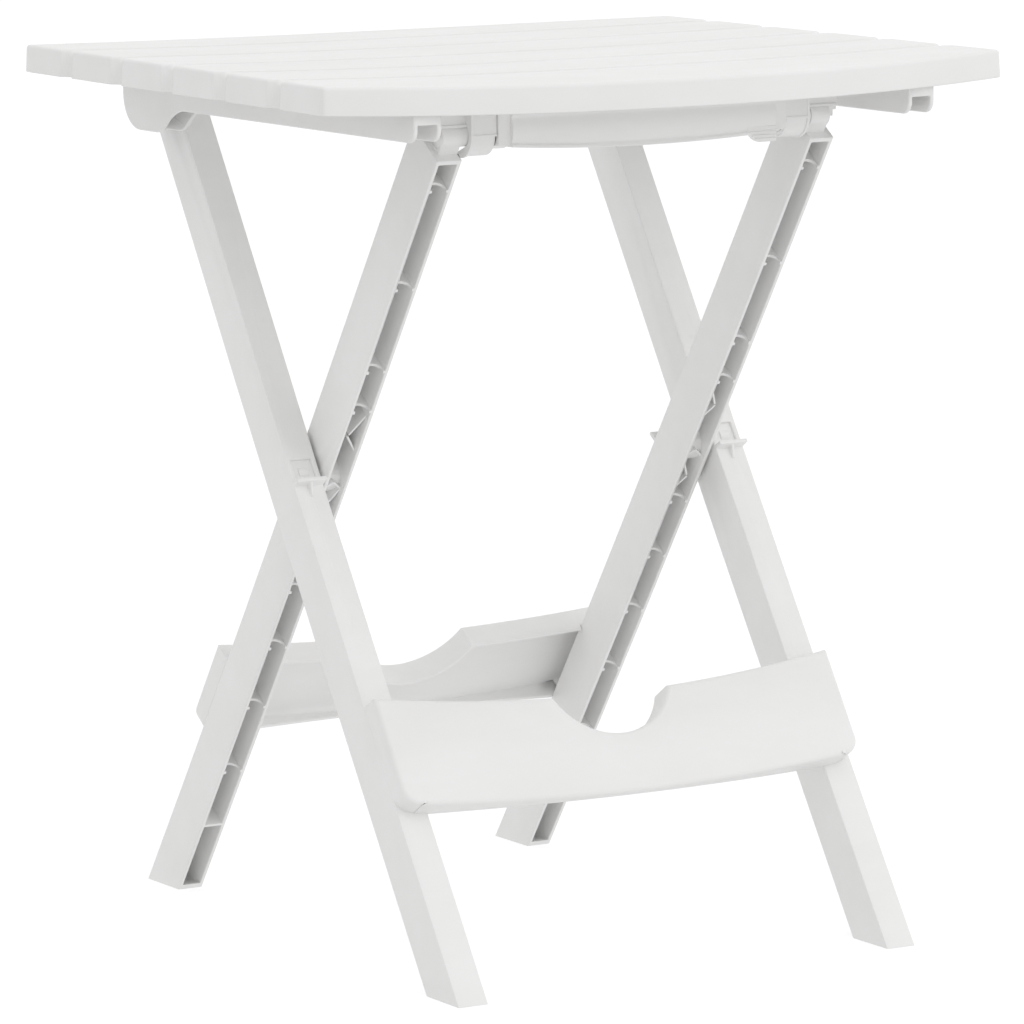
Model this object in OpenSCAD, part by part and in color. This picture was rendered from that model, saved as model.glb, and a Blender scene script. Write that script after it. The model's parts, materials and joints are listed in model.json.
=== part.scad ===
// Folding slatted side table. The top is hinged to the outer leg frame at the
// rear and clips over the crossbar of the inner leg frame at the front.
// +X runs along the slats, -Y is the front edge, +Z is up. The origin is the
// centre of the footprint, on the floor.

/* [Table top] */
// Height of the top surface above the floor
table_h = 500; // [495:1:510]
// Length over the slat ends
top_l = 434; // [420:1:450]
// Depth of the top at its corners
top_d = 353; // [345:1:360]
// How far the front edge bows out between the corners
front_bow = 26.8; // [10:0.1:30]
// How far the rear edge bows out between the corners
rear_bow = 5; // [2:0.5:10]
// Height of the apron round the edge
apron_h = 15.5; // [14:0.5:16]
// Number of slats
slats = 6; // [5:1:7]

/* [Leg frames] */
// Height of the scissor pivots above the floor
pivot_z = 266.5; // [262:0.5:270]
// Lean of the outer legs from the vertical
outer_lean = 33.4; // [32:0.1:35]
// Lean of the inner legs from the vertical
inner_lean = 34.9; // [34:0.1:36]
// How far the legs bow over their length
leg_bow = 2.7; // [1:0.1:4]
// Width of the outer legs along X
outer_leg_w = 18.6; // [17:0.1:19]
// Width of the inner legs along X
inner_leg_w = 15.7; // [14:0.1:16]
// Depth of the outer legs, square to their length
outer_leg_d = 28.9; // [27:0.1:30]
// Depth of the inner legs, square to their length
inner_leg_d = 31.8; // [30:0.1:33]

/* [Braces] */
// Stand-off of a brace plate from the faces of its legs
brace_off = 14; // [12:0.5:15]
// Depth of the brace flanges next to the legs
flange_deep = 17; // [14:0.5:17]
// Depth of the lower brace flange at mid-span
flange_shallow = 6; // [4:0.5:10]
// Radius of the arched cut-out in the upper edge
cutout_r = 40; // [35:1:45]

/* [Hinges] */
// Radius of the scissor and hinge pins
pin_r = 5; // [4:0.5:6]
// Radius of the round crossbar ends held by the clips
journal_r = 6; // [5:0.5:6]

/* [Hidden] */
$fn = 64;

shell_white = [0.93, 0.93, 0.92];
frame_white = [0.90, 0.90, 0.89];
pin_white = [0.84, 0.84, 0.83];

wall = 2.2;          // side walls and flanges
web = 2.6;           // closed face of a leg
far = 1000;          // larger than the table
run_gap = 0.05;      // radial clearance of a pin in its bore

// Top
panel_t = 3.5;
panel_z = table_h - panel_t;
corner_front = -182;
corner_rear = corner_front + top_d;
half_l = top_l / 2;
front_r = (half_l * half_l + front_bow * front_bow) / (2 * front_bow);
rear_r = (half_l * half_l + rear_bow * rear_bow) / (2 * rear_bow);
groove_w = 8;
groove_depth = 1.8;
groove_r = (groove_w * groove_w / 4 + groove_depth * groove_depth) / (2 * groove_depth);
notch_r = 6.5;
notch_out = 2.5;     // the notch centres lie this far beyond the slat ends
slat_pitch = 61.5;
groove_rib_h = 6;

// Outer legs, their pivots and hinges
outer_x1 = 148.2;
outer_x0 = outer_x1 - outer_leg_w;
inner_x1 = 127.4;
inner_x0 = inner_x1 - inner_leg_w;
leg_mid = -20;       // the bow is centred this far above the scissor pivot
leg_half = 300;      // half the length that the bow is measured over
foot_t = 3;
hinge_y = 127.5;
hinge_z = 473.5;
hinge_hub_r = 12.5;
bar_y = -142.2;
bar_z = 466;
boss_r = 10;
rib_t = 1.8;
proud = 0.2;         // how far a boss stands out of its leg's sides
outer_ribs = [-275, -231, -183, -136, -90, -45, 45, 90, 136, 180, 222];
inner_ribs = [-263, -219, -167, -120, -76, -33, 59, 88, 147, 216];
inner_pocket_top = 235;

// Channels under the top that carry the hinges
channel_x0 = outer_x1 + 0.6;
channel_x1 = channel_x0 + 17;
channel_wall = 2.6;
channel_front = -190;
channel_z = 467.5;
channel_recess_z = 477;
nose_r = 7;
lobe_r = 20;
toe_r = 15;          // the lobe's second, smaller round
toe_y = 107;
lobe_fillet = 35;

// Crossbar and its clips
clip_x0 = 92.5;
clip_x1 = 108.5;
clip_front = -151.5;
clip_back = -130.3;
clip_wall = 2.5;
clip_r = 12;
clip_gap = 0.4;
guard_x1 = 126;
bar_half = 91;
bar_front = -154;
bar_back = -137;
bar_top = 478;
bar_low = 459.5;
bar_belly = 3.5;
bar_t = 2.2;

function bow(a) = leg_bow * (pow(leg_mid / leg_half, 2) - pow((a - leg_mid) / leg_half, 2));
function arc_r(half, rise) = (half * half + rise * rise) / (2 * rise);

// ---- Placing --------------------------------------------------------------

module mirrored(left) {
    mirror([left ? 1 : 0, 0, 0]) children();
}

// Extrudes a side view, drawn as (Y, Z), from x0 to x1
module across(x0, x1) {
    translate([x0, 0, 0]) rotate([90, 0, 90]) linear_extrude(x1 - x0) children();
}

// The frame of the outer legs: origin at the pivot, +Z up the leg, closed face to -Y
module on_outer() {
    translate([0, 0, pivot_z]) rotate([-outer_lean, 0, 0]) children();
}

// The same for the inner legs, which lean the other way
module on_inner() {
    translate([0, 0, pivot_z]) mirror([0, 1, 0]) rotate([-inner_lean, 0, 0]) children();
}

module below_floor(z) {
    translate([-far / 2, -far / 2, z - far]) cube(far);
}

// ---- Table top ------------------------------------------------------------

function groove_y(i) = corner_front + top_d / 2 + ((slats - 2) / 2 - i) * slat_pitch;

// Plan of the top, shrunk by an even margin
module top_plan(margin) {
    difference() {
        intersection() {
            translate([-half_l + margin, -far / 2]) square([top_l - 2 * margin, far]);
            translate([0, corner_front - front_bow + front_r]) circle(front_r - margin, $fn = 256);
            translate([0, corner_rear + rear_bow - rear_r]) circle(rear_r - margin, $fn = 256);
        }
        for (side = [-1, 1], i = [0 : slats - 2])
            translate([side * (half_l + notch_out), groove_y(i)]) circle(notch_r + margin);
    }
}

module grooves() {
    for (i = [0 : slats - 2])
        translate([-far / 2, groove_y(i), table_h - groove_depth + groove_r])
            rotate([0, 90, 0]) cylinder(far, r = groove_r);
}

module slat_panel() {
    color(shell_white) difference() {
        translate([0, 0, panel_z]) linear_extrude(panel_t) top_plan(wall);
        grooves();
    }
}

// The ring round the panel, which the four aprons share out
module apron_ring() {
    difference() {
        translate([0, 0, table_h - apron_h]) linear_extrude(apron_h) difference() {
            top_plan(0);
            top_plan(wall);
        }
        grooves();
    }
}

module apron_part(x0, x1, y0, y1) {
    color(shell_white) intersection() {
        apron_ring();
        translate([x0, y0, 0]) cube([x1 - x0, y1 - y0, far]);
    }
}

module front_apron() { apron_part(-far / 2, far / 2, -far / 2, corner_front + wall); }
module rear_apron() { apron_part(-far / 2, far / 2, corner_rear - wall, far / 2); }
module left_apron() { apron_part(-far / 2, 0, corner_front + wall, corner_rear - wall); }
module right_apron() { apron_part(0, far / 2, corner_front + wall, corner_rear - wall); }

// One stiffening rib under each groove, between the side channels
module groove_ribs() {
    color(shell_white) for (i = [0 : slats - 2])
        translate([-channel_x0, groove_y(i) - rib_t / 2, panel_z - groove_rib_h])
            cube([2 * channel_x0, rib_t, groove_rib_h]);
}

// Side view of a channel: a straight run that swells into a lobe round the hinge
module channel_side() {
    low = hinge_z - lobe_r;
    fillet_z = channel_z - lobe_fillet;
    fillet_y = toe_y - sqrt(pow(toe_r + lobe_fillet, 2) - pow(low + toe_r - fillet_z, 2));
    translate([channel_front + nose_r, channel_z])
        square([toe_y - channel_front - nose_r, panel_z - channel_z]);
    translate([channel_front + nose_r, channel_z + nose_r]) circle(nose_r);
    translate([channel_front, channel_z + nose_r])
        square([nose_r, panel_z - channel_z - nose_r]);
    translate([toe_y, low]) square([hinge_y - toe_y, panel_z - low]);
    translate([toe_y, low + toe_r]) circle(toe_r);
    lobe_back(0);
    difference() {
        polygon([
            [fillet_y, channel_z], [toe_y, channel_z], [toe_y, low + toe_r],
            [fillet_y, fillet_z]
        ]);
        translate([fillet_y, fillet_z]) circle(lobe_fillet, $fn = 96);
    }
}

// The round back of the lobe, shrunk by an even margin
module lobe_back(margin) {
    translate([hinge_y, hinge_z]) circle(lobe_r - margin);
    translate([hinge_y, hinge_z]) square([lobe_r - margin, panel_z - hinge_z]);
}

module side_channel(left) {
    color(shell_white) mirrored(left) difference() {
        union() {
            across(channel_x0, channel_x0 + channel_wall) channel_side();
            across(channel_x1 - channel_wall, channel_x1) channel_side();
            channel_ends();
        }
        translate([0, hinge_y, hinge_z]) rotate([0, 90, 0])
            cylinder(channel_x0 + channel_wall + 2, r = pin_r + run_gap);
    }
}

// Front plate over the open recess, and the curved wall round the back of the lobe
module channel_ends() {
    translate([channel_x0, channel_front, channel_recess_z])
        cube([channel_x1 - channel_x0, wall, panel_z - channel_recess_z]);
    across(channel_x0, channel_x1) difference() {
        lobe_back(0);
        lobe_back(channel_wall);
        translate([hinge_y - far, hinge_z - far]) square([far, 2 * far]);
    }
}

module side_channel_left() { side_channel(true); }
module side_channel_right() { side_channel(false); }

// Hook that holds the round end of the crossbar from the front and below, with a
// guard wall in front of the leg beside it. It is open to the rear, for the bar
// to slide out as the top lifts.
module bar_clip(left) {
    color(shell_white) mirrored(left) {
        across(clip_x0, clip_x1) difference() {
            union() {
                translate([clip_front + clip_r, bar_z]) circle(clip_r);
                translate([clip_front, bar_z]) square([clip_back - clip_front, panel_z - bar_z]);
            }
            translate([bar_y, bar_z]) circle(journal_r + clip_gap);
            bar_exit();
        }
        translate([clip_x1 - 1, clip_front, bar_z])
            cube([guard_x1 - clip_x1 + 1, clip_wall, panel_z - bar_z]);
    }
}

// The room that the crossbar end needs on its way out of the clip
module bar_exit() {
    reach = journal_r + clip_gap - 0.1;
    high = [cos(11), -sin(11)];
    low = [cos(22), -sin(22)];
    translate([bar_y, bar_z]) polygon([
        reach * [-high[1], high[0]], reach * [-high[1], high[0]] + 60 * high,
        reach * [low[1], -low[0]] + 60 * low, reach * [low[1], -low[0]]
    ]);
}

module bar_clip_left() { bar_clip(true); }
module bar_clip_right() { bar_clip(false); }

// ---- Legs -----------------------------------------------------------------

// A length of leg between a0 and a1, reaching from lo to hi across its bowed centre line
module leg_run(x0, x1, a0, a1, lo, hi) {
    steps = max(1, round((a1 - a0) / 60));
    heights = [for (i = [0 : steps]) a0 + (a1 - a0) * i / steps];
    across(x0, x1) polygon(concat(
        [for (a = heights) [lo + bow(a), a]],
        [for (i = [steps : -1 : 0]) [hi + bow(heights[i]), heights[i]]]
    ));
}

// Pockets between the ribs of a leg, and the hollows in the ribs' open edges
module leg_pockets(x0, x1, depth, levels) {
    for (i = [0 : len(levels) - 2])
        leg_run(x0 + wall, x1 - wall, levels[i] + rib_t / 2, levels[i + 1] - rib_t / 2,
                -depth / 2 + web, depth / 2 + 1);
    rib_hollow = (x1 - x0) / 2 - wall - 0.8;
    for (i = [1 : len(levels) - 2])
        translate([(x0 + x1) / 2, bow(levels[i]) + depth / 2 - 2, levels[i] - rib_t])
            cylinder(2 * rib_t, r = rib_hollow);
}

// Slot through the closed face that shows the pivot boss
module pivot_window(x0, x1, depth) {
    translate([x0 + 3, -depth / 2 - 1, -9.5]) cube([x1 - x0 - 6, web + 2, 13]);
}

// Finger ledge under the window, with a gusset below it
module pivot_ledge(x0, x1, depth) {
    ledge_out = 6;
    ledge_t = 2.4;
    ledge_a = -13;
    face = -depth / 2;
    translate([x0, face - ledge_out, ledge_a]) cube([x1 - x0, ledge_out + 1, ledge_t]);
    across((x0 + x1) / 2 - 0.8, (x0 + x1) / 2 + 0.8) polygon([
        [face + 1, ledge_a + 1], [face - ledge_out + 1, ledge_a + 1],
        [face - 1, ledge_a - 7], [face + 1, ledge_a - 7]
    ]);
}

// A boss or pin along X, centred on (y, z)
module rod(x0, x1, y, z, r) {
    translate([x0, y, z]) rotate([0, 90, 0]) cylinder(x1 - x0, r = r);
}

module outer_leg(left) {
    depth = outer_leg_d;
    color(frame_white) mirrored(left) difference() {
        union() {
            difference() {
                on_outer() union() {
                    difference() {
                        leg_run(outer_x0, outer_x1, -360, 244, -depth / 2, depth / 2);
                        leg_pockets(outer_x0, outer_x1, depth, outer_ribs);
                    }
                    pivot_ledge(outer_x0, outer_x1, depth);
                }
                outer_foot_pocket();
            }
            rod(outer_x0 - proud, outer_x1 + proud, hinge_y, hinge_z, hinge_hub_r);
            rod(outer_x0 - proud, outer_x1 + proud, 0, pivot_z, boss_r);
        }
        below_floor(0);
        on_outer() pivot_window(outer_x0, outer_x1, depth);
        rod(outer_x0 - 1, outer_x1 - wall, 0, pivot_z, pin_r + run_gap);
        rod(outer_x0 + wall, outer_x1 + 1, hinge_y, hinge_z, pin_r);
    }
}

// Pocket below the lowest rib, down to the sole of the foot
module outer_foot_pocket() {
    difference() {
        on_outer() leg_run(outer_x0 + wall, outer_x1 - wall, -360, outer_ribs[0] - rib_t / 2,
                           -outer_leg_d / 2 + web, outer_leg_d / 2 + 1);
        below_floor(foot_t);
    }
}

module outer_leg_left() { outer_leg(true); }
module outer_leg_right() { outer_leg(false); }

module inner_leg(left) {
    depth = inner_leg_d;
    neck = journal_r + 0.3;
    neck_x0 = inner_x0 + 0.3;
    neck_x1 = neck_x0 + 12;
    color(frame_white) mirrored(left) difference() {
        union() {
            difference() {
                on_inner() union() {
                    difference() {
                        leg_run(inner_x0, inner_x1, -370, inner_pocket_top + wall,
                                -depth / 2, depth / 2);
                        leg_pockets(inner_x0, inner_x1, depth,
                                    concat(inner_ribs, inner_pocket_top));
                    }
                    pivot_ledge(inner_x0, inner_x1, depth);
                }
                inner_foot_pocket();
            }
            rod(neck_x0 - proud, neck_x1 + proud, bar_y, bar_z, neck);
            on_inner() leg_run(neck_x0, neck_x1, inner_pocket_top, 245, 5.1 - neck, 4.1 + neck);
            rod(inner_x0 - proud, inner_x1 + proud, 0, pivot_z, boss_r);
        }
        below_floor(0);
        on_inner() pivot_window(inner_x0, inner_x1, depth);
        rod(inner_x0 + wall, inner_x1 + 1, 0, pivot_z, pin_r);
        rod(neck_x0 - 1, neck_x1 - 2, bar_y, bar_z, journal_r);
    }
}

module inner_foot_pocket() {
    difference() {
        on_inner() leg_run(inner_x0 + wall, inner_x1 - wall, -370, inner_ribs[0] - rib_t / 2,
                           -inner_leg_d / 2 + web, inner_leg_d / 2 + 1);
        below_floor(foot_t);
    }
}

module inner_leg_left() { inner_leg(true); }
module inner_leg_right() { inner_leg(false); }

// ---- Braces ---------------------------------------------------------------

// Front view of a brace, drawn as (X, height up the leg), shrunk by an even margin.
// The levels are the middle of its upper edge, its lower edge and the cut-out's floor.
module brace_plan(half, levels, top_rise, margin) {
    low_rise = 8;
    corner_r = 10;
    top_r = arc_r(half, top_rise);
    low_r = arc_r(half, low_rise);
    corner_low = levels[1] + low_rise - 0.5;
    difference() {
        translate([-half + margin, levels[1]]) square([2 * (half - margin), far]);
        difference() {
            translate([-far / 2, levels[1] - 1]) square([far, low_rise + 2]);
            translate([0, levels[1] + low_r]) circle(low_r - margin, $fn = 256);
        }
        for (side = [-1, 1])
            brace_corner(side * (half - corner_r), corner_low + corner_r, side, corner_r, margin);
        translate([0, levels[0] + top_r]) circle(top_r + margin, $fn = 256);
        translate([-far / 2, levels[0] + top_rise - margin]) square(far);
        translate([0, levels[2] + cutout_r]) circle(cutout_r + margin);
    }
}

// Waste outside a rounded lower corner, whose centre is at (x, y)
module brace_corner(x, y, side, r, margin) {
    translate([x, y]) difference() {
        mirror([side < 0 ? 1 : 0, 0]) translate([0, -r - 2]) square(r + 2);
        circle(r - margin);
    }
}

// Plate with flanges back towards the legs
module brace_body(half, levels, top_rise, face) {
    front = -face - brace_off;
    edge_r = arc_r(half, flange_deep - flange_shallow);
    difference() {
        brace_slab(front, flange_deep) brace_plan(half, levels, top_rise, 0);
        brace_slab(front + web, far) brace_plan(half, levels, top_rise, wall);
        translate([0, front + flange_shallow + edge_r, levels[2] - 12 - far])
            cylinder(far, r = edge_r, $fn = 256);
    }
}

// Extrudes a front view back from y
module brace_slab(y, depth) {
    translate([0, y + depth, 0]) rotate([90, 0, 0]) linear_extrude(depth) children();
}

// The room that a pair of legs takes out of the brace across them
module leg_room(x0, x1, depth) {
    for (left = [true, false]) mirrored(left)
        leg_run(x0 - 0.2, x1 + 1, -320, -100, -depth / 2, depth);
}

module front_brace() {
    color(frame_white) on_outer() difference() {
        brace_body(outer_x1, [-162, -222.5, -186.5], 12, outer_leg_d / 2 + 0.7);
        leg_room(outer_x0, outer_x1, outer_leg_d);
    }
}

module rear_brace() {
    color(frame_white) on_inner() difference() {
        brace_body(inner_x1, [-165, -225, -189.5], 7.5, inner_leg_d / 2 + 0.7);
        leg_room(inner_x0, inner_x1, inner_leg_d);
    }
}

// ---- Crossbar and pins ----------------------------------------------------

// Front view of the crossbar: straight top edge and a belly below
module bar_plan(margin) {
    belly_r = arc_r(bar_half, bar_belly);
    intersection() {
        translate([-bar_half + margin, bar_low - bar_belly])
            square([2 * (bar_half - margin), bar_top - margin - bar_low + bar_belly]);
        translate([0, bar_low - bar_belly + belly_r]) circle(belly_r - margin, $fn = 256);
    }
}

module top_crossbar() {
    raised = 1;
    color(frame_white) {
        difference() {
            brace_slab(bar_front, bar_back - bar_front) bar_plan(0);
            brace_slab(bar_front + bar_t, far) bar_plan(bar_t);
        }
        brace_slab(bar_front - raised, raised) bar_plan(4.5);
        for (left = [true, false]) mirrored(left) rod(bar_half, clip_x1 + 12, bar_y, bar_z, journal_r);
        thumb_tab();
    }
}

// Rounded tab below the right-hand end of the crossbar
module thumb_tab() {
    tab_r = 9;
    tab_x0 = 65;
    tab_x1 = 88;
    tab_low = 453.8;
    brace_slab(bar_front, bar_t) difference() {
        union() {
            translate([tab_x0 + tab_r, tab_low]) square([tab_x1 - tab_x0 - tab_r, bar_low - tab_low + 3]);
            translate([tab_x0 + tab_r, tab_low + tab_r]) circle(tab_r);
        }
        translate([0, bar_low + 2]) square(far);
    }
}

// Pin fixed in the inner leg that turns in the outer leg
module pivot_pin(left) {
    color(pin_white) mirrored(left) rod(inner_x0 + wall, outer_x1 - wall - 0.3, 0, pivot_z, pin_r);
}

// Pin fixed in the outer leg that turns in the side channel, with a snap head inside it
module hinge_pin(left) {
    head_r = pin_r + 2.5;
    head_x = channel_x0 + channel_wall + 0.8;
    color(pin_white) mirrored(left) {
        rod(outer_x0 + wall, head_x + 2, hinge_y, hinge_z, pin_r);
        rod(head_x, head_x + 2, hinge_y, hinge_z, head_r);
    }
}

module pivot_pin_left() { pivot_pin(true); }
module pivot_pin_right() { pivot_pin(false); }
module hinge_pin_left() { hinge_pin(true); }
module hinge_pin_right() { hinge_pin(false); }

slat_panel();
front_apron();
rear_apron();
left_apron();
right_apron();
groove_ribs();
side_channel_left();
side_channel_right();
bar_clip_left();
bar_clip_right();
outer_leg_left();
outer_leg_right();
front_brace();
hinge_pin_left();
hinge_pin_right();
inner_leg_left();
inner_leg_right();
rear_brace();
top_crossbar();
pivot_pin_left();
pivot_pin_right();
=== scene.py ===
import json
import math
import bmesh
import bpy
from mathutils import Matrix, Vector

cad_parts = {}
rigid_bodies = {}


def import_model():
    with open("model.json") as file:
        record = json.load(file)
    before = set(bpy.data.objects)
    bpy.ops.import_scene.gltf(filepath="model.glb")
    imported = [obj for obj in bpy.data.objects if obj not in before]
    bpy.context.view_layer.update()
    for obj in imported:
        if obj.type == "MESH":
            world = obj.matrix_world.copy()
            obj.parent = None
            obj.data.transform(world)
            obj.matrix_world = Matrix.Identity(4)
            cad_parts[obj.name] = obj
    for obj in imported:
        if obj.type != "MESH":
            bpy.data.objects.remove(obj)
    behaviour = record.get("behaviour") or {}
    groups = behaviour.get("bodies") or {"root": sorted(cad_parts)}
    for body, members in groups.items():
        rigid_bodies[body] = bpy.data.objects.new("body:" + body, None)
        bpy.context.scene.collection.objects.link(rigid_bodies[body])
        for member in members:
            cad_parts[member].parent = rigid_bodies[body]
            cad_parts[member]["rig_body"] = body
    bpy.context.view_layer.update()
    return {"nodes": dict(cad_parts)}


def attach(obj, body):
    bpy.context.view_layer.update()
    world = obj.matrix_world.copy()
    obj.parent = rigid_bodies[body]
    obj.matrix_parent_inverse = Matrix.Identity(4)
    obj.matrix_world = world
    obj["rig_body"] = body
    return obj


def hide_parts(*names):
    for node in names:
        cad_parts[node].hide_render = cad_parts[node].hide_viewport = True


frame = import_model()

MM = 0.001
SIDES = {"left": -1, "right": 1}

# The table, as the record's frame has it, in millimetres
TABLE_H = 500
HALF_L = 217         # from the middle to the slat ends
CORNER_FRONT = -182
CORNER_REAR = 171
FRONT_BOW = 26.8     # how far the front edge bows out at mid-length
REAR_BOW = 5
APRON_H = 15.5
GROOVE_PITCH = 61.5
GROOVE_MIDDLE = -5.5
GROOVES = [GROOVE_MIDDLE + GROOVE_PITCH * k for k in (-2, -1, 0, 1, 2)]
PIVOT_Z = 266.5
OUTER_LEAN = math.radians(33.4)
INNER_LEAN = math.radians(34.9)
OUTER_LEG_X = (129.6, 148.2)     # nearest and farthest X of the legs from the middle plane
INNER_LEG_X = (111.7, 127.4)
OUTER_LEG_DEPTH = 28.9
INNER_LEG_DEPTH = 31.8


# ---- Camera ----------------------------------------------------------------

CAMERA_AT = (-1.8371, -3.1348, 0.7607)
CAMERA_TURN = (30.42, -8.234, -0.561)    # yaw, pitch and roll in degrees
CAMERA_LENS = 225.8


def add_camera():
    yaw, pitch, roll = (math.radians(a) for a in CAMERA_TURN)
    forward = Vector((math.sin(yaw) * math.cos(pitch), math.cos(yaw) * math.cos(pitch), math.sin(pitch)))
    level = Vector((math.cos(yaw), -math.sin(yaw), 0))
    upright = level.cross(forward)
    right = math.cos(roll) * level + math.sin(roll) * upright
    up = math.cos(roll) * upright - math.sin(roll) * level
    data = bpy.data.cameras.new("camera")
    data.sensor_width = 36
    data.lens = CAMERA_LENS
    camera = bpy.data.objects.new("camera", data)
    bpy.context.scene.collection.objects.link(camera)
    turn = Matrix((right, up, -forward)).transposed()
    camera.matrix_world = Matrix.Translation(CAMERA_AT) @ turn.to_4x4()
    bpy.context.scene.camera = camera


# ---- Materials -------------------------------------------------------------


class Nodes:
    """A short way to write a material's node tree."""

    def __init__(self, name):
        self.material = bpy.data.materials.new(name)
        self.material.use_nodes = True
        self.tree = self.material.node_tree
        self.shader = self.tree.nodes["Principled BSDF"]

    def add(self, kind, inputs=None, **settings):
        node = self.tree.nodes.new(kind)
        for key, value in settings.items():
            setattr(node, key, value)
        for key, value in (inputs or {}).items():
            if isinstance(value, bpy.types.NodeSocket):
                self.tree.links.new(value, node.inputs[key])
            else:
                node.inputs[key].default_value = value
        return node

    def noise(self, vector, scale, detail=4, roughness=0.5):
        inputs = {"Vector": vector, "Scale": scale, "Detail": detail, "Roughness": roughness}
        return self.add("ShaderNodeTexNoise", inputs).outputs["Fac"]

    def between(self, value, lo, hi, to_lo, to_hi):
        inputs = {"Value": value, "From Min": lo, "From Max": hi, "To Min": to_lo, "To Max": to_hi}
        return self.add("ShaderNodeMapRange", inputs).outputs["Result"]

    def math(self, operation, a, b):
        return self.add("ShaderNodeMath", {0: a, 1: b}, operation=operation).outputs["Value"]

    def bump(self, height, strength, distance, normal=None):
        inputs = {"Height": height, "Strength": strength, "Distance": distance}
        if normal is not None:
            inputs["Normal"] = normal
        return self.add("ShaderNodeBump", inputs).outputs["Normal"]


def plastic(name, white, warm, rough, grain):
    """Matte moulded polypropylene: fine grain, faint flow marks, dull scuffs on the edges."""
    n = Nodes(name)
    place = n.add("ShaderNodeTexCoord").outputs["Object"]
    flow_place = n.add("ShaderNodeMapping", {"Vector": place, "Scale": (6, 18, 18)}).outputs["Vector"]
    flow = n.noise(flow_place, 1.6, 5, 0.6)
    blotch = n.noise(place, 35, 6, 0.65)
    grain_fine = n.noise(place, 2600, 2, 0.5)
    grain_mid = n.noise(place, 750, 3, 0.55)
    scratch_place = n.add("ShaderNodeMapping", {"Vector": place, "Rotation": (0.3, 0.5, 0.2),
                                                "Scale": (40, 900, 700)}).outputs["Vector"]
    scratch = n.between(n.noise(scratch_place, 1, 2, 0.4), 0.66, 0.78, 0, 1)
    scuffed = n.math("MULTIPLY", scratch, n.between(n.noise(place, 22, 3), 0.52, 0.68, 0, 1))
    edge = n.between(n.add("ShaderNodeNewGeometry").outputs["Pointiness"], 0.53, 0.62, 0, 1)
    worn = n.math("MULTIPLY", edge, n.between(blotch, 0.45, 0.65, 0, 1))

    tone = n.between(flow, 0.3, 0.7, 0, 1)
    clean = [white * c for c in warm] + [1]
    shade = [white * 0.965 * c for c in (1, 0.998, 0.985)] + [1]
    base = n.add("ShaderNodeMix", {0: tone, 6: shade, 7: clean}, data_type="RGBA").outputs[2]
    dirt = n.math("MULTIPLY", n.math("ADD", scuffed, worn), 0.12)
    dull = [white * 0.9, white * 0.895, white * 0.875, 1]
    colour = n.add("ShaderNodeMix", {0: dirt, 6: base, 7: dull}, data_type="RGBA").outputs[2]
    n.tree.links.new(colour, n.shader.inputs["Base Color"])

    soft = n.between(blotch, 0.3, 0.7, rough - 0.06, rough + 0.07)
    matte = n.math("ADD", soft, n.math("MULTIPLY", n.math("ADD", scuffed, worn), 0.12))
    n.tree.links.new(matte, n.shader.inputs["Roughness"])

    wavy = n.bump(blotch, 0.25, 0.0004)
    pebble = n.bump(grain_mid, 0.35 * grain, 0.00006, wavy)
    skin = n.bump(grain_fine, 0.5 * grain, 0.00003, pebble)
    marked = n.bump(n.math("SUBTRACT", 1, scuffed), 0.3, 0.00003, skin)
    n.tree.links.new(marked, n.shader.inputs["Normal"])
    n.shader.inputs["IOR"].default_value = 1.49
    return n.material


PLASTICS = {
    "top_plastic": plastic("top_plastic", 0.87, (1, 1, 0.995), 0.42, 1.0),
    "frame_plastic": plastic("frame_plastic", 0.89, (1, 1, 0.995), 0.46, 0.8),
    "pin_plastic": plastic("pin_plastic", 0.82, (1, 0.995, 0.98), 0.4, 0.5),
}


# ---- Meshes ----------------------------------------------------------------

ROUND_STEPS = 3                      # segments across each rounded edge
WELD = 0.02                          # corners nearer than this become one, in mm
FLUSH_WELD = 0.12                    # the same after bosses have been pressed flush
FLAT = math.radians(0.6)             # faces that turn less than this are one face
SLIVER = 0.1                         # faces smaller than this aren't rounded, in square mm
TURN_MIN, TURN_MAX = math.radians(28), math.radians(130)     # turns rounded on copies of CAD nodes
CORNER_TURN = math.radians(35)       # turns above this are rounded on the mouldings made here
RUN_ON = 0.85                        # edges whose directions agree this well are one chain
SHORT_EDGE = 3                       # a leg's edges up to this length get SHORT_ROUNDING, in mm
SHORT_ROUNDING = 0.15


def finish_piece(name, mesh, body, slot, *nodes):
    """Makes a mesh a piece on a body, which stands for the CAD nodes that are named."""
    piece = bpy.data.objects.new(name, mesh)
    bpy.context.scene.collection.objects.link(piece)
    mesh.materials.clear()
    mesh.materials.append(PLASTICS[slot])
    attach(piece, body)
    if nodes:
        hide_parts(*nodes)
    return piece


def smooth(mesh):
    for face in mesh.polygons:
        face.use_smooth = True


def add_bevel(piece, width):
    """Rounds the edges that carry a bevel weight, by up to width in mm."""
    bevel = piece.modifiers.new("rounded_edges", "BEVEL")
    bevel.width = width * MM
    bevel.segments = ROUND_STEPS
    bevel.limit_method = "WEIGHT"
    bevel.use_clamp_overlap = False
    bevel.harden_normals = True
    bevel.miter_outer = "MITER_ARC"


def merged_faces(mesh, weld):
    """The mesh with its corners welded within a distance in mm, and its flat facets merged."""
    bm = bmesh.new()
    bm.from_mesh(mesh)
    bmesh.ops.remove_doubles(bm, verts=bm.verts, dist=weld * MM)
    bmesh.ops.dissolve_degenerate(bm, dist=weld * MM, edges=bm.edges)
    bmesh.ops.dissolve_limit(bm, angle_limit=FLAT, use_dissolve_boundaries=False,
                             verts=bm.verts, edges=bm.edges)
    return bm


def is_sharp(edge):
    """Whether an edge turns a corner; edges of slivers, and of faces folded on each other, don't."""
    if len(edge.link_faces) != 2 or min(f.calc_area() for f in edge.link_faces) < SLIVER * MM * MM:
        return False
    return TURN_MIN < edge.calc_face_angle(0) < TURN_MAX


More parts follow.
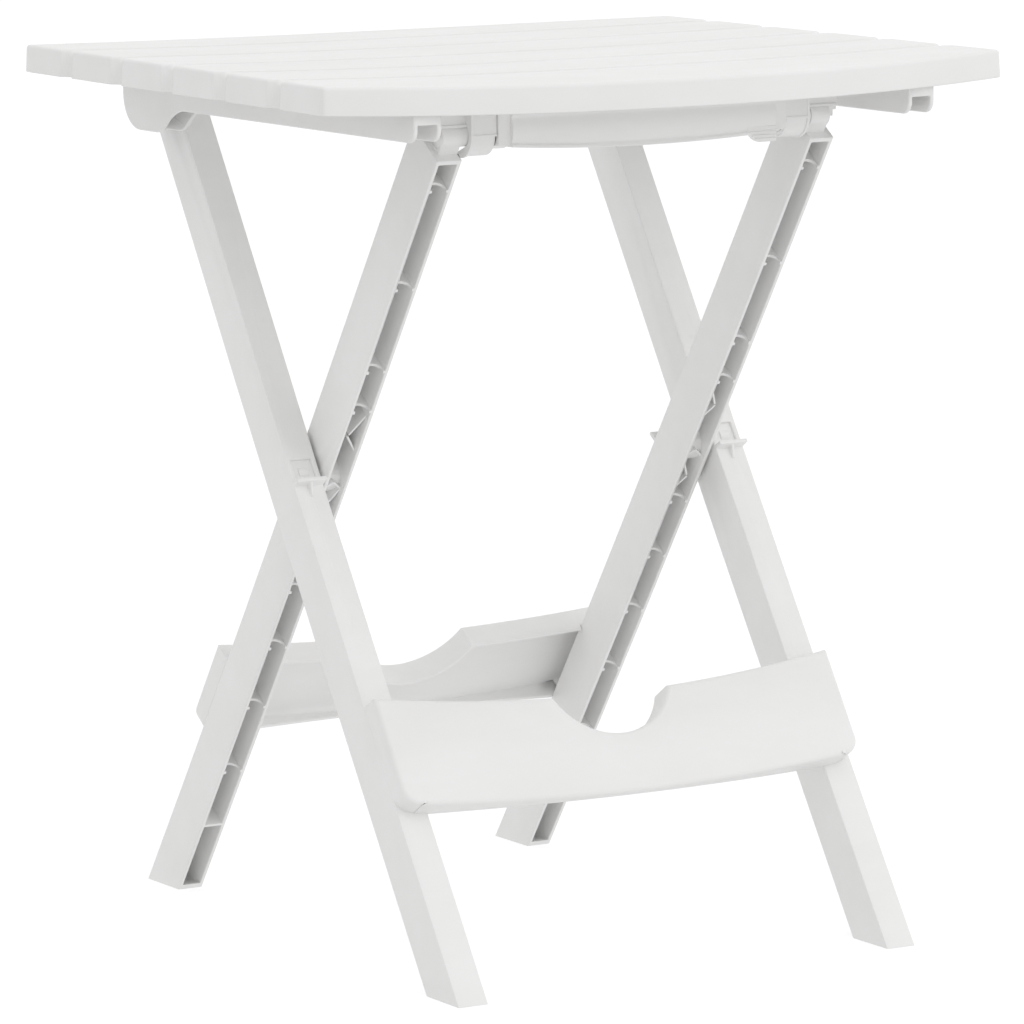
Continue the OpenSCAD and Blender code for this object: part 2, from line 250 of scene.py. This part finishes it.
def sharp_chains(bm):
    """Groups of sharp edges that run on into each other without a corner."""
    sharp = {e for e in bm.edges if is_sharp(e)}
    chains = []
    while sharp:
        chain = [sharp.pop()]
        for edge in chain:
            for vert in edge.verts:
                run = (vert.co - edge.other_vert(vert).co).normalized()
                for other in vert.link_edges:
                    onward = (other.other_vert(vert).co - vert.co).normalized()
                    if other in sharp and run.dot(onward) > RUN_ON and other.is_convex == edge.is_convex:
                        sharp.remove(other)
                        chain.append(other)
        chains.append(chain)
    return chains


def weigh_edges(bm, radius_of, largest):
    """Gives each sharp edge its rounding, from radius_of(edge) in mm for the longest edge of its chain."""
    weight = bm.edges.layers.float.new("bevel_weight_edge")
    for chain in sharp_chains(bm):
        radius = radius_of(max(chain, key=lambda e: e.calc_length()))
        for edge in chain:
            edge[weight] = min(1, radius / largest)


def press_flush(mesh, near, far):
    """Presses what stands out of a range of X from the middle plane back into it."""
    for vert in mesh.vertices:
        out = min(max(abs(vert.co.x), near * MM), far * MM)
        vert.co.x = math.copysign(out, vert.co.x)


def keep_under_top(bm):
    """Lowers what would show through the grooves of the warped top."""
    for vert in bm.verts:
        ceiling = TABLE_H - GROOVE_DEEP - UNDER_GROOVE + warp(vert.co.x / MM, vert.co.y / MM)
        vert.co.z = min(vert.co.z, ceiling * MM)


def rounded(node, ending, slot, radius_of, largest, flush=None):
    """A copy of a CAD node with moulded, rounded edges, pressed into the range flush if one is given."""
    source = frame["nodes"][node]
    name = f"{node}_{ending}"
    if flush:
        mesh = source.data.copy()
        mesh.name = name
        press_flush(mesh, *flush)
        bm = merged_faces(mesh, FLUSH_WELD)
    else:
        mesh = bpy.data.meshes.new(name)
        bm = merged_faces(source.data, WELD)
    keep_under_top(bm)
    weigh_edges(bm, radius_of, largest)
    bm.to_mesh(mesh)
    bm.free()
    smooth(mesh)
    piece = finish_piece(name, mesh, source["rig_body"], slot, node)
    add_bevel(piece, largest)


def even(radius):
    """Rounding that is the same on outside edges, and half on inside ones."""
    return lambda edge: radius if edge.is_convex else radius / 2


def leg_rule(radius):
    """Even rounding, but next to none on the short edges of bosses and rib hollows."""
    return lambda edge: even(radius)(edge) if edge.calc_length() > SHORT_EDGE * MM else SHORT_ROUNDING


# ---- Table top -------------------------------------------------------------

EDGE_R = 2.2         # rounding of the top's outer edge
DRAFT = 0.7          # how far the apron leans out from its top to its foot
SKIN = 2.2           # thickness of the moulding
CORNER_R = 3.5       # plan radius of the four corners
NOTCH_R = 6.5
NOTCH_OUT = 0.6      # the notch centres lie this far beyond the slat ends
NOTCH_LEAD = (20, 2, 1.2, 0.5)       # the slat end has points this far from each notch
GROOVE_HALF = 4
GROOVE_DEEP = 3.0
GROOVE_POWER = 0.4   # below 1, it makes the sides of a groove steep
UNDER_GROOVE = 0.6   # what touches the underside ends this far below a groove's floor
FUNNEL = 14          # length over which a groove opens out towards its notch
FUNNEL_WIDER = 2.5   # how much wider each side of a groove is at its notch
CURL = {(-1, -1): -0.3, (-1, 1): 2.2, (1, -1): 0.1, (1, 1): 0.6}  # lift of each corner
FRONT_SAG = 3.5      # how far the front edge hangs at mid-length
SAG_POWER = 2.6
BOW_STEPS = 22
CORNER_STEPS = 6
NOTCH_STEPS = 6
GROOVE_STEPS = 6
SHOULDERS = (-7, -5.6, 5.6, 7)       # lines in the mesh beside each groove
FUNNEL_LINES = (5, 8, 11, 14)        # lines across the slats, this far from their ends
SLAT_STEP = 20                       # distance between the other lines across the slats
RIB_REACH = 149.4    # the ribs under the grooves end this far from the middle
RIB_FOOT = 490.5
RIB_HALF = 0.9       # half a rib's thickness
RIB_STEPS = 16


def bow_arc(corner_y, bow_out, margin):
    """Points of the bowed front or rear edge from left to right, and its end angle."""
    radius = (HALF_L ** 2 + bow_out ** 2) / (2 * bow_out)
    way = 1 if corner_y > 0 else -1
    middle = corner_y + way * (bow_out - radius)
    end = math.asin((HALF_L - CORNER_R) / (radius - CORNER_R))
    angles = [end * k / BOW_STEPS for k in range(-BOW_STEPS, BOW_STEPS + 1)]
    reach = radius - margin
    return [Vector((reach * math.sin(a), middle + way * reach * math.cos(a))) for a in angles], end


def corner_arc(corner_y, bow_out, margin):
    """Points of the arc between the right-hand end of a bowed edge and the slat ends."""
    points, end = bow_arc(corner_y, bow_out, CORNER_R)
    centre = points[-1]
    way = 1 if corner_y > 0 else -1
    angles = [(math.pi / 2 - end) * k / CORNER_STEPS for k in range(CORNER_STEPS)]
    reach = CORNER_R - margin
    return [centre + reach * Vector((math.cos(a), way * math.sin(a))) for a in angles]


def notch_side(margin):
    """The right-hand edge from front to rear, with its notches."""
    x = HALF_L - margin
    reach = NOTCH_R + margin
    half_turn = math.acos((NOTCH_OUT + margin) / reach)
    points = []
    for groove in GROOVES:
        half = reach * math.sin(half_turn)
        points += [Vector((x, groove - half - d)) for d in NOTCH_LEAD]
        for k in range(-NOTCH_STEPS, NOTCH_STEPS + 1):
            a = half_turn * k / NOTCH_STEPS
            points.append(Vector((HALF_L + NOTCH_OUT - reach * math.cos(a), groove + reach * math.sin(a))))
        points += [Vector((x, groove + half + d)) for d in NOTCH_LEAD[::-1]]
    return points


def top_plan(margin):
    """Outline of the top, anticlockwise, shrunk by an even margin; each margin has the same points."""
    front = bow_arc(CORNER_FRONT, FRONT_BOW, margin)[0]
    rear = bow_arc(CORNER_REAR, REAR_BOW, margin)[0]
    right = (corner_arc(CORNER_FRONT, FRONT_BOW, margin)[::-1] + notch_side(margin)
             + corner_arc(CORNER_REAR, REAR_BOW, margin))
    left = [Vector((-p.x, p.y)) for p in right[::-1]]
    points = front + right + rear[::-1] + left
    for _ in range(2):
        points = [(points[k - 1] + 2 * p + points[(k + 1) % len(points)]) / 4 for k, p in enumerate(points)]
    return points


def warp(x, y):
    """How far the top stands off the level: curled corners, and a front edge that sags."""
    side = -1 if x < 0 else 1
    back = (y - CORNER_FRONT) / (CORNER_REAR - CORNER_FRONT)
    lift = (x / HALF_L) ** 2 * (CURL[side, -1] * (1 - back) + CURL[side, 1] * back)
    return lift - FRONT_SAG * (1 - abs(x / HALF_L) ** SAG_POWER) * (1 - back)


def groove_depth(x, y):
    """How deep the grooves are at a place on the top; each is wider and deeper near its notches."""
    opening = max(0, (abs(x) - HALF_L + FUNNEL) / FUNNEL) ** 2
    for groove in GROOVES:
        t = abs(y - groove) / (GROOVE_HALF + FUNNEL_WIDER * opening)
        if t < 1:
            return (GROOVE_DEEP + opening) * (0.5 + 0.5 * math.cos(math.pi * t)) ** GROOVE_POWER
    return 0


def cut_lines(bm, axis, positions):
    """Adds straight lines across a flat mesh, at right angles to an axis."""
    for position in positions:
        at = Vector((0, 0, 0))
        at[axis] = position
        normal = Vector((0, 0, 0))
        normal[axis] = 1
        geom = bm.verts[:] + bm.edges[:] + bm.faces[:]
        bmesh.ops.bisect_plane(bm, geom=geom, dist=1e-4, plane_co=at, plane_no=normal)


def boundary_loop(bm):
    """The outline's vertices in order, anticlockwise from above."""
    edges = [e for e in bm.edges if e.is_boundary]
    start = edges[0].verts[0]
    loop, last, here = [start], None, start
    while True:
        step = next(e for e in here.link_edges if e.is_boundary and e is not last)
        here, last = step.other_vert(here), step
        if here is start:
            break
        loop.append(here)
    area = sum(a.co.x * b.co.y - b.co.x * a.co.y for a, b in zip(loop, loop[1:] + loop[:1]))
    return loop if area > 0 else loop[::-1]


def place_on(outline, point):
    """The segment of a closed outline that a point lies on, and how far along it is."""
    best = None
    for k, start in enumerate(outline):
        along = outline[(k + 1) % len(outline)] - start
        t = min(1, max(0, (point - start).dot(along) / along.length_squared))
        miss = (start + t * along - point).length
        if best is None or miss < best[0]:
            best = (miss, k, t)
    return best[1:]


def edge_profile():
    """Margin and depth of each ring from the flat of the top to the foot of the apron, in mm."""
    turns = [k * math.pi / 10 for k in range(1, 6)]
    edge = [(DRAFT + EDGE_R * (1 - math.sin(t)), EDGE_R * (1 - math.cos(t))) for t in turns]
    return edge + [(0.05, APRON_H - 0.9), (0.1, APRON_H - 0.3), (0.4, APRON_H)]


def add_rings(bm, loop, inner):
    """Rounded edge and apron below the outline of the top's flat."""
    places = [place_on(inner, v.co.to_2d()) for v in loop]
    upper = loop
    for margin, down in edge_profile():
        outline = top_plan(margin)
        spots = [outline[k].lerp(outline[(k + 1) % len(outline)], t) for k, t in places]
        lower = [bm.verts.new((p.x, p.y, -down)) for p in spots]
        for k in range(len(loop)):
            j = (k + 1) % len(loop)
            bm.faces.new((upper[k], lower[k], lower[j], upper[j]))
        upper = lower


def top_flat(inner):
    """The flat of the top at height 0, cut into strips that can follow the grooves."""
    bm = bmesh.new()
    bm.faces.new([bm.verts.new((p.x, p.y, 0)) for p in inner])
    near_groove = [k / GROOVE_STEPS * GROOVE_HALF for k in range(-GROOVE_STEPS, GROOVE_STEPS + 1)]
    cut_lines(bm, 1, [g + d for g in GROOVES for d in (*near_groove, *SHOULDERS)])
    ends = [HALF_L - d for d in FUNNEL_LINES]
    cut_lines(bm, 0, [*range(-200, 201, SLAT_STEP), *ends, *(-x for x in ends)])
    bmesh.ops.remove_doubles(bm, verts=bm.verts, dist=0.15)
    return bm


def build_top():
    inner = top_plan(DRAFT + EDGE_R)
    bm = top_flat(inner)
    add_rings(bm, boundary_loop(bm), inner)
    for vert in bm.verts:
        x, y, down = vert.co
        vert.co.z = TABLE_H + down + warp(x, y) - max(0, 1 + down / APRON_H) * groove_depth(x, y)
    bmesh.ops.recalc_face_normals(bm, faces=bm.faces)
    if sum(f.normal.z for f in bm.faces) < 0:
        bmesh.ops.reverse_faces(bm, faces=bm.faces)
    bmesh.ops.scale(bm, vec=(MM, MM, MM), verts=bm.verts)
    mesh = bpy.data.meshes.new("top_shell")
    bm.to_mesh(mesh)
    bm.free()
    smooth(mesh)
    piece = finish_piece("top_shell", mesh, "tabletop", "top_plastic",
                         "slat_panel", "front_apron", "rear_apron", "left_apron", "right_apron")
    shell = piece.modifiers.new("skin", "SOLIDIFY")
    shell.thickness = SKIN * MM
    shell.offset = -1


def build_groove_ribs():
    """Ribs under the grooves, whose crests follow the warped top."""
    ribs = Solid()
    for groove in GROOVES:
        xs = [RIB_REACH - 2 * RIB_REACH * k / RIB_STEPS for k in range(RIB_STEPS + 1)]
        crest = [(x, TABLE_H + warp(x, groove) - GROOVE_DEEP - SKIN / 2) for x in xs]
        outline = [(-RIB_REACH, RIB_FOOT), (RIB_REACH, RIB_FOOT), *crest]
        ribs.prism(outline, groove - RIB_HALF, groove + RIB_HALF, axis="y")
    ribs.piece("groove_ribs_moulding", 1, 0.3, "tabletop", "top_plastic", "groove_ribs")


# ---- Solid mouldings -------------------------------------------------------


def arc(y, z, radius, start, end, steps=12):
    """Points of an arc in a side view, between two angles in degrees."""
    turns = [math.radians(start + (end - start) * k / steps) for k in range(steps + 1)]
    return [(y + radius * math.cos(t), z + radius * math.sin(t)) for t in turns]


def circle(y, z, radius, corners=24):
    """Corners of a round section."""
    return arc(y, z, radius, 0, 360 - 360 / corners, corners - 1)


def box_view(u0, u1, v0, v1):
    return [(u0, v0), (u1, v0), (u1, v1), (u0, v1)]


class Solid:
    """One moulding, put together from prisms, in millimetres."""

    def __init__(self):
        self.bm = bmesh.new()

    def prism(self, points, lo, hi, axis="x", place=None):
        """A side view (Y, Z) drawn along X, or a front view (X, Z) drawn along Y."""
        rings = []
        for level in (lo, hi):
            spots = [(level, u, v) if axis == "x" else (u, level, v) for u, v in points]
            rings.append([self.bm.verts.new(place @ Vector(s) if place else s) for s in spots])
        self.bm.faces.new(rings[0])
        self.bm.faces.new(rings[1][::-1])
        for k in range(len(points)):
            j = (k + 1) % len(points)
            self.bm.faces.new((rings[0][k], rings[1][k], rings[1][j], rings[0][j]))

    def piece(self, name, side, radius, body, slot, *nodes):
        """Finishes the moulding with edges rounded to a radius; side -1 mirrors it to the left."""
        bmesh.ops.scale(self.bm, vec=(side * MM, MM, MM), verts=self.bm.verts)
        bmesh.ops.recalc_face_normals(self.bm, faces=self.bm.faces)
        mesh = bpy.data.meshes.new(name)
        self.bm.to_mesh(mesh)
        self.bm.free()
        smooth(mesh)
        piece = finish_piece(name, mesh, body, slot, *nodes)
        bevel = piece.modifiers.new("rounded_edges", "BEVEL")
        bevel.width = radius * MM
        bevel.segments = ROUND_STEPS
        bevel.limit_method = "ANGLE"
        bevel.angle_limit = CORNER_TURN
        bevel.harden_normals = True


# ---- Clips and crossbar ----------------------------------------------------

BAR_Y = -142.2       # middle of the crossbar's round ends
BAR_Z = 466
BAR_END_R = 6
CLIP_X0 = 92.5
CLIP_X1 = 108.5
CLIP_FRONT = -151.5
CLIP_BACK = -130.3
CLIP_R = 12          # the hook's round nose
SEAT_R = 6.4         # the hollow that the bar lies in
HOOK_TIP_Z = 470.1
PANEL_Z = 496        # the clips end here, inside the skin of the top
GUARD_FRONT = -146
GUARD_BACK = -143.4
GUARD_END = 130
GUARD_FOOT = 470.6


def hook_view(radius):
    """Side view of the hook, open to the rear for the bar to slide out."""
    middle = CLIP_FRONT + CLIP_R
    nose = arc(middle, BAR_Z, radius, 180, 300)
    seat = arc(BAR_Y, BAR_Z, SEAT_R, 248, 79)
    return [(CLIP_BACK, PANEL_Z), (middle - radius, PANEL_Z), *nose, *seat, (CLIP_BACK, HOOK_TIP_Z)]


def add_hook(clip):
    """The jaw, its set-back inner end, the raised outer side plate, and a block with a fine lip in front."""
    clip.prism(hook_view(CLIP_R - 0.3), CLIP_X0 + 0.7, CLIP_X1)
    clip.prism(hook_view(CLIP_R - 1.3), CLIP_X0, CLIP_X0 + 1.2)
    clip.prism(hook_view(CLIP_R + 0.5), CLIP_X1 - 1.6, CLIP_X1 + 0.2)
    clip.prism(box_view(CLIP_FRONT, -145, BAR_Z, PANEL_Z - 0.2), CLIP_X0 - 0.1, CLIP_X1 - 0.1)
    lip = box_view(CLIP_FRONT - 0.6, CLIP_FRONT + 1, BAR_Z - 0.7, BAR_Z + 0.7)
    clip.prism(lip, CLIP_X0 - 0.2, CLIP_X1)


def add_guard(clip):
    """A wall over the end of the leg, with a lip along its foot and two steps at its outer end.
    Their sizes differ by a little, so that no two outer faces coincide."""
    start = CLIP_X1 - 0.5
    clip.prism(box_view(GUARD_FRONT, GUARD_BACK, GUARD_FOOT + 0.2, PANEL_Z), start, GUARD_END)
    lip = box_view(GUARD_FRONT - 1.2, GUARD_BACK + 0.4, GUARD_FOOT, GUARD_FOOT + 1.6)
    clip.prism(lip, start, GUARD_END + 0.4)
    clip.prism(box_view(GUARD_FRONT + 0.1, GUARD_BACK - 0.1, 468.5, 471.6), 124.8, GUARD_END - 0.1)
    clip.prism(box_view(GUARD_FRONT + 0.2, GUARD_BACK - 0.2, 465, 469.3), 124.9, 127.8)


def build_clips():
    for name, side in SIDES.items():
        clip = Solid()
        add_hook(clip)
        add_guard(clip)
        clip.piece(f"bar_clip_{name}_moulding", side, 0.45, "tabletop", "top_plastic", f"bar_clip_{name}")


BAR_HALF = 84.5      # half the length of the channel-shaped body
BAR_TOP = 478
BAR_LOW = 459.5
BAR_BELLY = 3.5      # how far the lower edge bows down at mid-length
BELLY_HALF = 91
BAR_FACE = -154
BAR_BACK = -137
BAR_WALL = 2.2
BAR_STEPS = 20
BAR_RIBS = (-56, -28, 0, 28, 56)
BAR_RIB_HALF = 0.8
NECK_END = 92.2      # where the neck between the body and the clip ends
NECK_R = 8.2
TAB_X0 = 64.5
TAB_X1 = 84.5
TAB_LOW = 453.8


def belly(x, margin):
    """Height of the bar's bowed lower edge at x, raised by a margin."""
    return BAR_LOW - BAR_BELLY * (1 - (x / BELLY_HALF) ** 2) + margin


def bar_slice(x):
    """Section of the crossbar at x: a channel open to the rear, with a raised front panel."""
    low = belly(x, 0)
    rim, dip, panel, foot = BAR_FACE - 0.6, BAR_FACE + 0.1, BAR_FACE - 0.9, BAR_FACE - 0.7
    inside = BAR_FACE + BAR_WALL
    return [
        (BAR_BACK, BAR_TOP), (rim, BAR_TOP), (rim, BAR_TOP - 1.4),
        (dip, BAR_TOP - 2.6), (dip, BAR_TOP - 4), (panel, BAR_TOP - 6.5),
        (panel, low + 5.5), (BAR_FACE, low + 3.6), (BAR_FACE, low + 2.4),
        (foot, low + 1.4), (foot, low), (BAR_BACK, low), (BAR_BACK, low + BAR_WALL),
        (inside, low + BAR_WALL), (inside, BAR_TOP - BAR_WALL), (BAR_BACK, BAR_TOP - BAR_WALL),
    ]


def add_bar_body(solid):
    stations = [-BAR_HALF + 2 * BAR_HALF * k / BAR_STEPS for k in range(BAR_STEPS + 1)]
    rings = [[solid.bm.verts.new((x, y, z)) for y, z in bar_slice(x)] for x in stations]
    for left, right in zip(rings, rings[1:]):
        for k in range(len(left)):
            j = (k + 1) % len(left)
            solid.bm.faces.new((left[k], right[k], right[j], left[j]))
    solid.bm.faces.new(rings[0])
    solid.bm.faces.new(rings[-1][::-1])


def add_bar_ends(bar):
    """At each end, a neck that steps back from the body, and the round end that lies in the clip."""
    for side in (-1, 1):
        x0, x1 = sorted((side * (BAR_HALF - 1), side * NECK_END))
        bar.prism(circle(BAR_Y, BAR_Z, NECK_R), x0, x1)
        bar.prism(box_view(BAR_FACE + 1.2, BAR_Y, BAR_Z - 6, BAR_TOP - 0.8), x0, x1)
        x0, x1 = sorted((side * 90, side * 120.5))
        bar.prism(circle(BAR_Y, BAR_Z, BAR_END_R), x0, x1)


def add_thumb_tab(bar):
    """Rounded finger tab below the right-hand end of the bar, with fine grip ribs."""
    top = BAR_LOW + 3
    curve = arc(TAB_X0 + 10.5, TAB_LOW + 8.8, 9, 168, 262, 9)
    outline = [(TAB_X1, top), (TAB_X0 + 2, top), *curve, (TAB_X1, TAB_LOW)]
    bar.prism(outline, BAR_FACE - 0.4, BAR_FACE + 2, axis="y")
    for k in range(3):
        z = TAB_LOW + 1.7 + 1.9 * k
        rib = box_view(TAB_X0 + 6.5 - 2 * k, TAB_X1 - 0.5, z - 0.35, z + 0.35)
        bar.prism(rib, BAR_FACE - 1.1, BAR_FACE, axis="y")


def build_crossbar():
    bar = Solid()
    add_bar_body(bar)
    add_bar_ends(bar)
    for x in BAR_RIBS:
        rib = box_view(BAR_FACE + 2, BAR_BACK - 0.6, belly(x, 1), BAR_TOP - 1)
        bar.prism(rib, x - BAR_RIB_HALF, x + BAR_RIB_HALF)
    add_thumb_tab(bar)
    bar.piece("top_crossbar_moulding", 1, 0.45, "inner_frame", "frame_plastic", "top_crossbar")


# ---- Details inside the legs -----------------------------------------------

POCKET_X = (113.4, 125.7)            # inside faces of the inner legs' pockets
POCKET_MIDDLE = 119.5
POCKET_DEPTH = (-12, 12.5)
WEB_STARTS = (-1, 53.5)              # heights up the leg from the scissor pivot
WINDOW_BACK = (-12.9, -12.1, -9.6, 3.6)      # depths and heights of the plate behind a window
INNER_WINDOW_X = (114.6, 124.5)
OUTER_WINDOW_X = (132.5, 145.3)
BOSS_X = (136, 142)
BOSS_R = 4.4
RINGS_X = ((133.8, 135.2), (139.2, 140.6))
RING_R = 11.2
MARK_HEIGHTS = (150, 60, -60)
MARK_X = 138.9
MARK_R = 2.6
MARK_DEPTHS = (-14.75, -14.3)
BOW_MIDDLE = -20                     # the legs bow about this height from the pivot
BOW_REACH = 300
BOW_OUT = 2.7


def on_leg(lean, flip):
    """Turns (x, distance behind the leg's middle line, height up the leg) into the row frame."""
    turn = Matrix.Rotation(-lean, 4, "X")
    mirror = Matrix.Scale(flip, 4, (0, 1, 0))
    return Matrix.Translation((0, 0, PIVOT_Z)) @ mirror @ turn


def strut(solid, place, start, end, thick, depth):
    """A web inside a leg's pocket from (x, height) to (x, height), drawn between two depths."""
    along = (Vector(end) - Vector(start)).normalized()
    out = Vector((-along.y, along.x)) * thick / 2
    points = [Vector(start) + out, Vector(start) - out, Vector(end) - out, Vector(end) + out]
    solid.prism([tuple(p) for p in points], *depth, axis="y", place=place)


def add_webs(webs, place):
    """A roof of two webs at the pivot, and two pairs of slanting webs, in an inner leg's pocket."""
    near, far = POCKET_X
    mid = POCKET_MIDDLE
    strut(webs, place, (near, -1), (mid, 4), 1.4, POCKET_DEPTH)
    strut(webs, place, (mid, 4), (far, -1), 1.4, POCKET_DEPTH)
    for start in WEB_STARTS:
        strut(webs, place, (near, start), (mid + 1, start - 14), 1.2, POCKET_DEPTH)
        strut(webs, place, (mid + 1.5, start - 15), (near, start - 26), 1.2, POCKET_DEPTH)
    webs.prism(box_view(*WINDOW_BACK), *INNER_WINDOW_X, place=place)


def add_rings_in_leg(rings, place):
    """Two rings round the pivot in an outer leg, and a plate with a boss behind the window."""
    for lo, hi in RINGS_X:
        rings.prism(circle(0, PIVOT_Z, RING_R), lo, hi)
    rings.prism(box_view(*WINDOW_BACK), *OUTER_WINDOW_X, place=place)
    rings.prism(circle(-9.6, -4, BOSS_R), *BOSS_X, place=place)


def leg_bow(height):
    """How far back the leg's middle line lies at a height up the leg, because it bows."""
    return BOW_OUT * ((BOW_MIDDLE / BOW_REACH) ** 2 - ((height - BOW_MIDDLE) / BOW_REACH) ** 2)


def add_marks(marks, place):
    """Faint round marks of the mould on an outer leg's front face."""
    for height in MARK_HEIGHTS:
        bowed = place @ Matrix.Translation((0, leg_bow(height), 0))
        marks.prism(circle(MARK_X, height, MARK_R, 16), *MARK_DEPTHS, axis="y", place=bowed)


def build_leg_details():
    inner = on_leg(INNER_LEAN, -1)
    outer = on_leg(OUTER_LEAN, 1)
    for name, side in SIDES.items():
        webs = Solid()
        add_webs(webs, inner)
        webs.piece(f"inner_leg_{name}_webs", side, 0.3, "inner_frame", "frame_plastic")
        rings = Solid()
        add_rings_in_leg(rings, outer)
        rings.piece(f"outer_leg_{name}_rings", side, 0.3, "outer_frame", "frame_plastic")
        marks = Solid()
        add_marks(marks, outer)
        marks.piece(f"outer_leg_{name}_marks", side, 0.12, "outer_frame", "frame_plastic")


# ---- Frames ----------------------------------------------------------------

BRACE_OUT = 14.7     # the braces' faces stand this far in front of the faces of their legs
BRACE_EDGE = 0.7


def behind_leg(point, lean, flip):
    """How far behind its leg's middle line a point lies, in mm."""
    y, z = point.y / MM * flip, point.z / MM - PIVOT_Z
    return y * math.cos(lean) - z * math.sin(lean)


def brace_rule(lean, flip, face_at, big):
    """Large rounding where the front face of a brace meets its flanges, small elsewhere."""
    def radius(edge):
        offsets = [behind_leg(v.co, lean, flip) for v in edge.verts]
        if max(abs(o - face_at) for o in offsets) < 0.4:
            return big
        return BRACE_EDGE if edge.is_convex else BRACE_EDGE / 2
    return radius


def build_frames():
    for side in SIDES:
        rounded(f"outer_leg_{side}", "moulding", "frame_plastic", leg_rule(0.6), 0.6, OUTER_LEG_X)
        rounded(f"inner_leg_{side}", "moulding", "frame_plastic", leg_rule(0.6), 0.6, INNER_LEG_X)
        rounded(f"hinge_pin_{side}", "turned", "pin_plastic", even(0.5), 0.5)
        rounded(f"pivot_pin_{side}", "turned", "pin_plastic", even(0.5), 0.5)
        rounded(f"side_channel_{side}", "moulding", "top_plastic", even(0.9), 0.9)
    front = brace_rule(OUTER_LEAN, 1, -(OUTER_LEG_DEPTH / 2 + BRACE_OUT), 2.6)
    rear = brace_rule(INNER_LEAN, -1, -(INNER_LEG_DEPTH / 2 + BRACE_OUT), 2.0)
    rounded("front_brace", "moulding", "frame_plastic", front, 2.6)
    rounded("rear_brace", "moulding", "frame_plastic", rear, 2.6)


# ---- Stage -----------------------------------------------------------------

FLOOR_REACH = 40
KEY_AT = (1.3, -2.6, 2.4)
KEY_SIZE = 1.6
KEY_WATTS = 9
LIGHT_AIM = Vector((0, 0, 0.3))
SKY_SLOPE = (0.1, 0.0, 0.12)         # how the tent's brightness grows along each axis
SKY_STRENGTH = 0.86


def add_floor():
    corners = [(x * FLOOR_REACH, y * FLOOR_REACH, 0) for x, y in ((-1, -1), (1, -1), (1, 1), (-1, 1))]
    mesh = bpy.data.meshes.new("floor")
    mesh.from_pydata(corners, [], [(0, 1, 2, 3)])
    floor = bpy.data.objects.new("floor", mesh)
    bpy.context.scene.collection.objects.link(floor)
    n = Nodes("floor")
    n.shader.inputs["Base Color"].default_value = (0.28, 0.28, 0.28, 1)
    n.shader.inputs["Roughness"].default_value = 0.9
    n.shader.inputs["Specular IOR Level"].default_value = 0
    n.shader.inputs["Emission Color"].default_value = (1, 1, 1, 1)
    n.shader.inputs["Emission Strength"].default_value = 0.8
    mesh.materials.append(n.material)
    floor.visible_diffuse = False


def add_world():
    """An even white tent, a little dimmer on the left and below."""
    world = bpy.data.worlds.new("world")
    world.use_nodes = True
    tree = world.node_tree
    place = tree.nodes.new("ShaderNodeTexCoord")
    along = tree.nodes.new("ShaderNodeVectorMath")
    along.operation = "DOT_PRODUCT"
    along.inputs[1].default_value = SKY_SLOPE
    tree.links.new(place.outputs["Generated"], along.inputs[0])
    strength = tree.nodes.new("ShaderNodeMath")
    strength.operation = "ADD"
    strength.inputs[1].default_value = SKY_STRENGTH
    tree.links.new(along.outputs["Value"], strength.inputs[0])
    tree.links.new(strength.outputs[0], tree.nodes["Background"].inputs["Strength"])
    tree.nodes["Background"].inputs["Color"].default_value = (1, 1, 1, 1)
    bpy.context.scene.world = world


def add_area(name, place, size, watts):
    data = bpy.data.lights.new(name, "AREA")
    data.energy = watts
    data.size = size
    light = bpy.data.objects.new(name, data)
    light.location = place
    light.rotation_euler = (LIGHT_AIM - Vector(place)).to_track_quat("-Z", "Y").to_euler()
    bpy.context.scene.collection.objects.link(light)


add_camera()
build_top()
build_groove_ribs()
build_clips()
build_crossbar()
build_frames()
build_leg_details()
add_floor()
add_world()
add_area("key", KEY_AT, KEY_SIZE, KEY_WATTS)
bpy.context.scene.view_settings.view_transform = "Standard"
